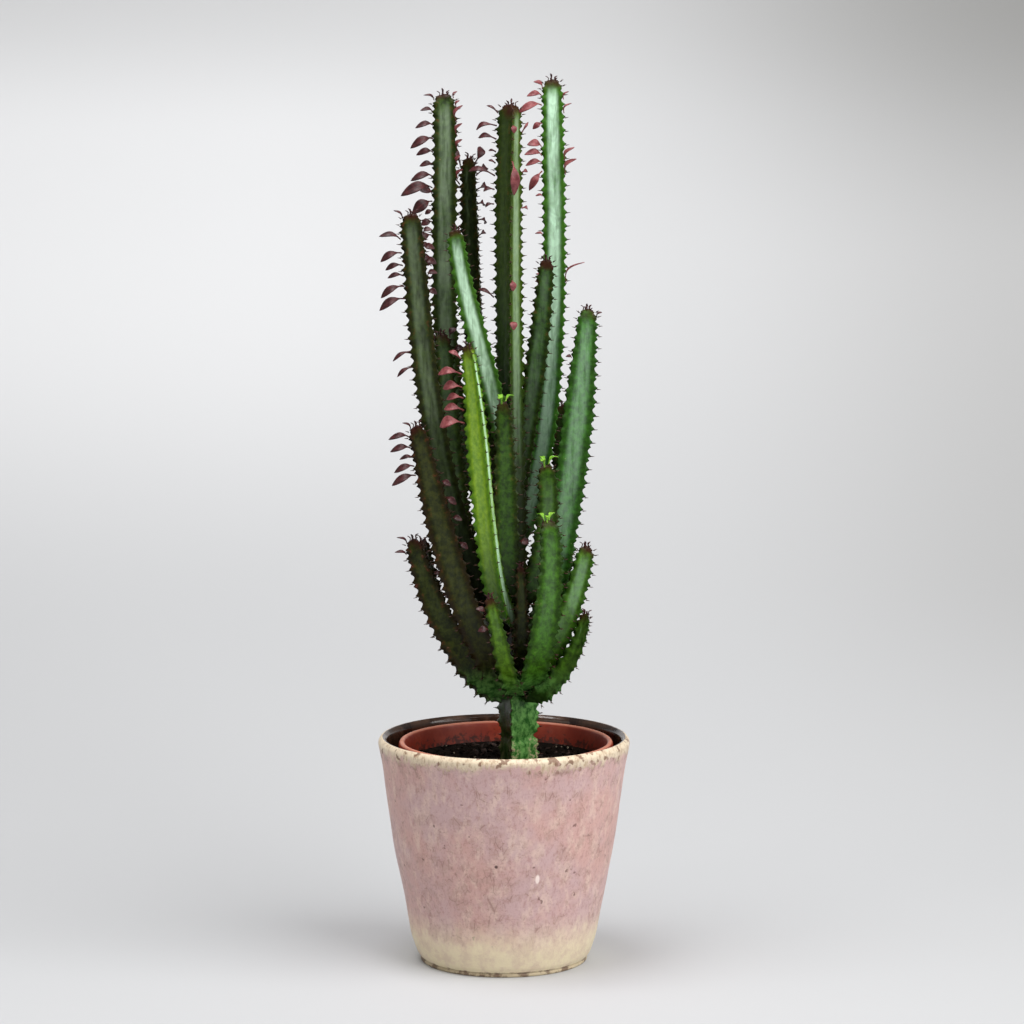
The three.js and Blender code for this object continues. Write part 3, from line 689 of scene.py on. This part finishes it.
# Each row has the branch's root, two guide points and tip, then its girth, turn, tip, tan and shade, bloom
# and sheen, and fresh, all as for the leader above.
branches = {
    "tall_left": ((7, 0, 416), (-84, 90, 520), (-50, 14, 705), (-58, 34, 847),
                  13, 90, 0.92, 0.7, 0.42, 0.0),
    "back_left": ((7, 0, 435), (-30, 102, 515), (-29, 42, 673), (-33, 54, 785),
                  11, 60, 0.85, 0.8, 0.35, 0.1),
    "tall_right": ((7, 0, 396), (62, 98, 500), (48, 24, 725), (47, 42, 861),
                   12, 90, 0.92, 0.0, 1.0, 0.1),
    "upper_left": ((13, 0, 317), (-68, -20, 430), (-76, -4, 600), (-88, -8, 734),
                   13.5, 75, 0.88, 0.8, 0.25, 0.0),
    "inner_left": ((10, 0, 345), (-54, 38, 345), (-52, 10, 545), (-61, 18, 616),
                   12, 100, 0.8, 0.6, 0.15, 0.1),
    "leaning": ((5, 0, 484), (-3, -22, 563), (-38, -10, 639), (-46, -13, 719),
                11.5, 80, 0.8, 0.1, 1.0, 0.1),
    "upper_right": ((16, 0, 258), (54, 18, 372), (70, 5, 515), (81, 8, 641),
                    17, 100, 0.62, 0.0, 0.22, 0.05),
    "front_left": ((12, 0, 335), (-15, -84, 335), (-19, -38, 526), (-34, -48, 610),
                   13, 50, 0.62, 0.0, 1.0, 1.0),
    "inner_right": ((10, 0, 347), (36, -42, 373), (49, -24, 446), (40, -28, 493),
                    12.5, 90, 0.8, 0.4, 0.08, 0.1),
    "middle_left": ((17, 0, 270), (-36, -57, 302), (-64, -22, 452), (-84, -32, 532),
                    15, 85, 0.66, 1.0, 0.04, 0.1),
    "front_right": ((17, 0, 268), (28, -76, 284), (51, -54, 388), (41, -58, 443),
                    16, 110, 0.7, 0.15, 0.04, 0.1),
    "low_front": ((17, 0, 266), (7, -65, 268), (-3, -64, 326), (-14, -66, 370),
                  9.5, 90, 0.7, 0.2, 0.05, 0.3),
    "lower_left": ((17, 0, 260), (-38, -37, 286), (-73, -10, 354), (-88, -18, 420),
                   15, 85, 0.62, 0.95, 0.04, 0.1),
    "lower_right": ((16, 0, 263), (47, -30, 300), (71, -14, 361), (80, -18, 413),
                    13, 95, 0.75, 0.0, 0.18, 0.2),
    "lowest_right": ((17, 0, 260), (40, -45, 266), (74, -39, 298), (80, -40, 350),
                     10.5, 60, 0.7, 0.15, 0.15, 0.2),
    "front_middle": ((11, 0, 337), (-1, -59, 392), (4, -31, 484), (-1, -38, 555),
                     13, 90, 0.65, 0.55, 0.02, 0.05),
    "narrow_right": ((7, 0, 396), (12, 46, 474), (39, 11, 600), (42, 20, 688),
                     11.5, 80, 0.75, 0.5, 0.15, 0.0),
    "low_middle": ((14, 0, 287), (19, -53, 304), (18, -43, 352), (16, -44, 397),
                   7.5, 90, 0.7, 0.95, 0.05, 0.0),
    "rear_left": ((15, 0, 275), (-36, 70, 305), (-58, 68, 430), (-56, 82, 560),
                  13.5, 30, 0.75, 0.9, 0.1, 0.0),
    "rear_middle": ((14, 0, 300), (5, 95, 340), (0, 84, 480), (4, 92, 610),
                    13, 90, 0.8, 0.75, 0.1, 0.0),
    "rear_right": ((15, 0, 285), (60, 75, 320), (62, 70, 430), (60, 84, 540),
                   13.5, 50, 0.75, 0.6, 0.25, 0.1),
    "rear_low_left": ((16, 0, 255), (-42, 50, 262), (-72, 36, 340), (-80, 44, 410),
                      12.5, 40, 0.7, 0.9, 0.05, 0.0),
    "rear_low_right": ((17, 0, 250), (38, 60, 275), (56, 50, 340), (64, 50, 400),
                       12, 70, 0.7, 0.6, 0.1, 0.1),
}
columns_of_table = ("girth", "turn", "tip", "tan_and_shade", "bloom_and_sheen", "fresh")
stems = {"main": main_stem}
for name, row in branches.items():
    stems[name] = {"line": row[:4], **dict(zip(columns_of_table, row[4:]))}
    stand(stems[name], f"{name}_branch", f"{name}_stem")

# ---------------------------------------------------------------------------------------------
# The leaves: small spoon-shaped blades, burgundy above and pinker where they are young, one at each tooth
# of a season's new growth. They droop from a short stalk and fall when the stem gets older.
# ---------------------------------------------------------------------------------------------

# Distance below the tip, length and width in millimetres, and rise in degrees, for each leaf on the ridge
# that faces that way. Those that the design holds as pieces of their own come first on each ridge.
leaves = {
    "tall_left": {
        "left": [(30, 20, 6, -8), (43, 27, 9, -20), (56, 19, 7, -8), (68, 15, 6, -5), (79, 25, 8, -10),
                 (90, 36, 12, -12), (103, 25, 13, -28), (136, 21, 10, -20), (6, 13, 2, 22), (17, 14, 4, 4),
                 (96, 14, 9, 12), (112, 9, 5, -25), (123, 13, 8, -15), (147, 20, 6, -5), (158, 16, 9, -10),
                 (166, 18, 7, 0), (178, 14, 6, -12)],
        "right": [(28, 18, 6, 68), (41, 14, 6, 65), (14, 8, 3, 60), (54, 12, 6, 62), (68, 10, 6, 70),
                  (82, 12, 5, 60), (5, 8, 2, 55)],
    },
    "upper_left": {
        "left": [(24, 22, 6, 8), (37, 23, 8, -22), (49, 18, 6, -15), (69, 26, 8, -26), (81, 28, 9, -24),
                 (4, 12, 2, 40), (59, 16, 5, -8), (132, 20, 4, -28), (147, 18, 4, -32)],
        "right": [(20, 13, 6, 20), (33, 14, 7, -5), (46, 15, 8, -10), (60, 14, 6, 10), (74, 12, 6, -20)],
    },
    "middle_left": {
        "left": [(9, 22, 6, -5), (20, 22, 7, -8), (38, 22, 7, -15), (47, 27, 8, -20), (2, 11, 2, 35),
                 (29, 14, 4, -8)],
        "right": [(58, 12, 6, -20), (74, 14, 7, -30), (95, 12, 6, -10), (120, 12, 6, -30)],
    },
    "front_middle": {"right": [(134, 11, 8, -10)]},
    "low_front": {"left": [(14, 12, 6, 25), (30, 12, 7, -5)]},
    "main": {
        "left": [(21, 22, 6, -12), (34, 19, 6, 3), (69, 28, 6, 8), (9, 14, 2, 30), (46, 8, 2, 6),
                 (57, 8, 2, 20), (82, 12, 5, -10), (96, 10, 4, -20), (186, 18, 4, 25)],
        "front": [(54, 34, 10, -74), (20, 10, 6, -50), (168, 12, 7, -60), (208, 12, 8, -40)],
        "right": [(28, 14, 2, 50), (66, 8, 4, 10), (100, 8, 4, -10)],
    },
    "tall_right": {
        "left": [(25, 29, 8, -16), (65, 17, 9, 8), (73, 20, 7, 3), (88, 24, 8, -52), (16, 17, 6, -2),
                 (9, 12, 5, 32), (80, 19, 6, -8), (42, 12, 6, -30), (112, 8, 2, 0), (150, 9, 2, 8),
                 (193, 9, 3, 30), (204, 12, 3, 45)],
        "right": [(80, 18, 5, 55), (92, 20, 6, 52), (20, 10, 1.6, 52), (33, 13, 1.6, 48), (198, 30, 1.6, 46)],
    },
    "front_left": {
        "left": [(27, 24, 9, -2), (40, 20, 11, -4), (62, 20, 9, 2), (74, 25, 14, -10), (12, 14, 5, 30),
                 (50, 17, 8, -6)],
    },
    "back_left": {
        "left": [(8, 22, 11, 48), (26, 22, 11, 25)],
        "right": [(6, 20, 10, 55), (18, 20, 8, 25), (32, 18, 8, 5), (46, 12, 7, -10), (62, 14, 6, -20),
                  (78, 12, 5, 15)],
    },
    "inner_left": {"left": [(8, 12, 7, 45), (22, 12, 8, 20)], "right": [(5, 12, 8, 50), (18, 12, 8, 12)]},
    "lower_left": {"left": [(3, 13, 2, 30), (13, 13, 3, 12)], "right": [(40, 10, 5, 10), (62, 12, 6, -15)]},
    "upper_right": {"right": [(6, 7, 2, 30)], "left": [(48, 8, 3, 10)]},
}
facings = {"left": math.pi, "right": 0.0, "front": -math.pi / 2}
roll = {"left": -math.radians(55), "right": math.radians(55), "front": 0.0}  # how far a leaf turns over
stalk_share = 0.22  # of its length
stalk_half_width = 0.0007
leaf_thickness = 0.0007


def leaf_blade(length, width, blush, green=0.0):
    """A spoon-shaped blade along +X: arched, folded a little along its midrib, as thick as a real leaf."""
    blade = bmesh.new()
    bmesh.ops.create_grid(blade, x_segments=16, y_segments=8, size=0.5)
    blush_layer = blade.verts.layers.float.new("blush")
    green_layer = blade.verts.layers.float.new("green")
    rib_layer = blade.verts.layers.float.new("rib")
    for vert in blade.verts:
        share, across = vert.co.x + 0.5, 2 * vert.co.y
        past_stalk = max(0.0, (share - stalk_share) / (1 - stalk_share))
        spoon = math.sin(math.pi * past_stalk ** 1.15) ** 0.8 if share < 1 else 0
        half = stalk_half_width * (1 - share) + 0.42 * width * spoon
        x = length * share
        arch = 0.32 * length * math.sin(math.pi * share)
        fold = 0.22 * half * abs(across) ** 1.5 * spoon
        vert.co = Vector((x, half * across, arch + fold))
        vert[blush_layer] = blush
        vert[green_layer] = green
        vert[rib_layer] = 1 - abs(across)
    bmesh.ops.remove_doubles(blade, verts=blade.verts, dist=1e-6)
    bmesh.ops.recalc_face_normals(blade, faces=blade.faces)
    bmesh.ops.solidify(blade, geom=blade.faces[:], thickness=leaf_thickness)
    return blade


leaf_skin = Finish("leaf_skin", 0.42)
rib = leaf_skin.attribute("rib")
blush = leaf_skin.attribute("blush")
veins = leaf_skin.cloud(220, 4, 0.6)
tone = leaf_skin.mixed(leaf_skin.between(veins, 0.35, 0.65), paint(32, 9, 11), paint(62, 20, 24))
fresh_pink = leaf_skin.mixed(leaf_skin.between(veins, 0.35, 0.65), paint(122, 54, 58), paint(164, 90, 92))
tone = leaf_skin.mixed(blush, tone, fresh_pink)
tone = leaf_skin.mixed(leaf_skin.between(rib, 0.86, 0.99, 0, 0.2), tone, paint(130, 70, 72))
new_green = leaf_skin.mixed(leaf_skin.between(veins, 0.35, 0.65), paint(92, 150, 34), paint(142, 190, 62))
tone = leaf_skin.mixed(leaf_skin.attribute("green"), tone, new_green)
leaf_skin.colour(tone)
leaf_skin.shader.inputs["Specular IOR Level"].default_value = 0.35
leaf_skin.relief(leaf_skin.plus(veins, rib), 0.2, 0.0006)

# How pink the leaves of a stem are. On two of the tall stems those that don't face left are pinker.
blushes = {"front_left": 0.85, "tall_right": 0.75, "main": 0.15}
usual_blush = 0.06
sheltered_blush = 0.45


def on_ridge(stem, middle, below, angle):
    """The foot of a leaf on the ridge that faces that angle, that many millimetres below the tip."""
    along = middle.length - below / 1000
    point, _, side, depth = middle.at(along)
    reach = ridge_radius(stem, along, middle.length, point.z) + 0.001
    return point + reach * (side * math.cos(angle) + depth * math.sin(angle))


def grown_leaf(foot, size, angle, lift, turn_over, blush, green=0.0):
    """A leaf of that length and width in millimetres, turned to its angle and set on its foot."""
    blade = leaf_blade(size[0] / 1000, size[1] / 1000, blush, green)
    turned = Matrix.Rotation(angle, 4, "Z") @ Matrix.Rotation(-math.radians(lift), 4, "Y")
    turned = turned @ Matrix.Rotation(turn_over, 4, "X")
    bmesh.ops.transform(blade, matrix=Matrix.Translation(foot) @ turned, verts=blade.verts)
    return blade


for name, sides in leaves.items():
    stem = stems[name]
    middle = CentreLine(stem["line"])
    for facing, rows in sides.items():
        wanted = facings[facing]
        turns = [math.radians(stem["turn"] + 120 * ridge) for ridge in range(3)]
        angle = max(turns, key=lambda turn: math.cos(turn - wanted))
        for number, (below, length, width, lift) in enumerate(rows, start=1):
            foot = on_ridge(stem, middle, below, angle)
            sheltered = name in ("tall_left", "main") and facing != "left"
            pink = min(1.0, blushes.get(name, usual_blush) + (sheltered_blush if sheltered else 0))
            blade = grown_leaf(foot, (length, width), angle, lift, roll[facing], pink)
            leaf = finished(blade, f"{name}_{facing}_blade_{number}", [leaf_skin.material])
            node = f"{name}_{facing}_leaf_{number}"
            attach(leaf, "root")
            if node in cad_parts:
                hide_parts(node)

# Each growing tip carries a tuft of unopened leaves, dark red on most stems and fresh green on the fastest.
green_tips = {"front_middle": 13, "front_right": 13, "inner_right": 15}  # and the length of the leaves there
bud_blush = 0.05
for name, stem in stems.items():
    middle = CentreLine(stem["line"])
    tuft = bmesh.new()
    for bud in range(5):
        angle = math.radians(stem["turn"] + 72 * bud + 20)
        foot = on_ridge(stem, middle, 1.5 + 1.5 * (bud % 2), angle)
        foot = foot.lerp(middle.at(middle.length - 0.002)[0], 0.45)
        if name in green_tips and bud % 2 == 0:
            blade = grown_leaf(foot, (green_tips[name], 5), angle, 30, 0, bud_blush, green=1.0)
        else:
            blade = grown_leaf(foot, (4 + 2 * (bud % 3), 1.4), angle, 62 + 8 * (bud % 2), 0, bud_blush)
        graft(tuft, blade)
    buds = finished(tuft, f"{name}_tip_buds", [leaf_skin.material])
    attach(buds, "root")

# ---------------------------------------------------------------------------------------------
# The studio: a pale paper sweep that rises in one long curve behind the plant, a large soft light on the
# right, a weak fill on the left, a soft light from above and an even sky. The camera stands in front, a
# little above the plant's middle, and looks slightly down.
# ---------------------------------------------------------------------------------------------

sweep = bmesh.new()
paper_width = 12
sweep_bend, sweep_radius = 0.35, 2.3  # where it starts to rise, and the radius of its curve
sweep_line = [(-6.0, 0), (-1.0, 0), (0, 0)]
for step in range(31):  # it ends where it stands 1.15 m high
    climb = math.radians(2 * step)
    sweep_line.append((sweep_bend + sweep_radius * math.sin(climb), sweep_radius * (1 - math.cos(climb))))
corners = [sweep.verts.new((-paper_width / 2, y, z)) for y, z in sweep_line]
edges = [sweep.edges.new(pair) for pair in zip(corners, corners[1:])]
pulled = bmesh.ops.extrude_edge_only(sweep, edges=edges)
far_edge = [part for part in pulled["geom"] if isinstance(part, bmesh.types.BMVert)]
bmesh.ops.translate(sweep, vec=(paper_width, 0, 0), verts=far_edge)
bmesh.ops.recalc_face_normals(sweep, faces=sweep.faces)
# The paper's colour is painted with light and shade: darker on the floor than up the wall, a painted pool of
# light on the wall left of the plant, painted shade on the right and in the top right corner, and painted
# shade along its top.
paper = Finish("studio_paper", 0.8)
across, up = paper.coordinate("X"), paper.coordinate("Z")
painted_wall_light = paper.times(paper.between(across, 0.25, -0.40), paper.between(up, 0.14, 0.60))
painted_wall_light = paper.times(painted_wall_light, paper.between(up, 0.98, 0.72))
white = paper.mixed(paper.between(up, 0.10, 0.60), paint(193, 195, 198), paint(211, 213, 216))
white = paper.mixed(painted_wall_light, white, paint(223, 225, 228))
painted_right_shade = paper.times(paper.between(across, 0.10, 0.85, 0, 0.5), paper.between(up, -0.02, 0.20, 0.3, 1))
white = paper.mixed(painted_right_shade, white, paint(150, 150, 149))
painted_corner_shade = paper.times(paper.between(across, -0.10, 0.95), paper.between(up, 0.55, 0.98, 0, 0.65))
white = paper.mixed(painted_corner_shade, white, paint(120, 120, 118))
paper.colour(paper.mixed(paper.between(up, 0.74, 0.98, 0, 0.20), white, paint(150, 150, 149)))
studio = finished(sweep, "studio_sweep", [paper.material])

lights = (
    # name, where it stands, what it is turned to, its width, its power, its colour
    ("window_light", (2.1, -1.5, 2.6), (0, 0, 0.45), 3.3, 138, (1.0, 0.985, 0.965)),
    ("fill_light", (-2.4, -1.8, 1.2), (0, 0, 0.5), 1.6, 7, (1.0, 0.90, 0.78)),
    ("top_light", (-0.6, -0.3, 2.9), (0, 0.1, 0), 1.5, 58, (1.0, 0.99, 0.98)),
)
for name, place, aim, size, power, colour in lights:
    lamp = bpy.data.lights.new(name, "AREA")
    lamp.size = size
    lamp.energy = power
    lamp.color = colour
    holder = bpy.data.objects.new(name, lamp)
    holder.location = place
    holder.rotation_euler = (Vector(place) - Vector(aim)).to_track_quat("Z", "Y").to_euler()
    bpy.context.scene.collection.objects.link(holder)
sky = bpy.data.worlds.new("studio_sky")
sky.use_nodes = True
sky.node_tree.nodes["Background"].inputs["Color"].default_value = (1.0, 0.98, 0.96, 1)
sky.node_tree.nodes["Background"].inputs["Strength"].default_value = 0.24
bpy.context.scene.world = sky
bpy.context.scene.view_settings.view_transform = "Standard"

lens = bpy.data.cameras.new("portrait_lens")
lens.sensor_width = 36
lens.lens = 134.9
look_down = 7.494  # degrees
camera = bpy.data.objects.new("camera", lens)
camera.location = (0.008, -3.7, 0.93)
camera.rotation_euler = (math.radians(90 - look_down), 0, 0)
bpy.context.scene.collection.objects.link(camera)
bpy.context.scene.camera = camera
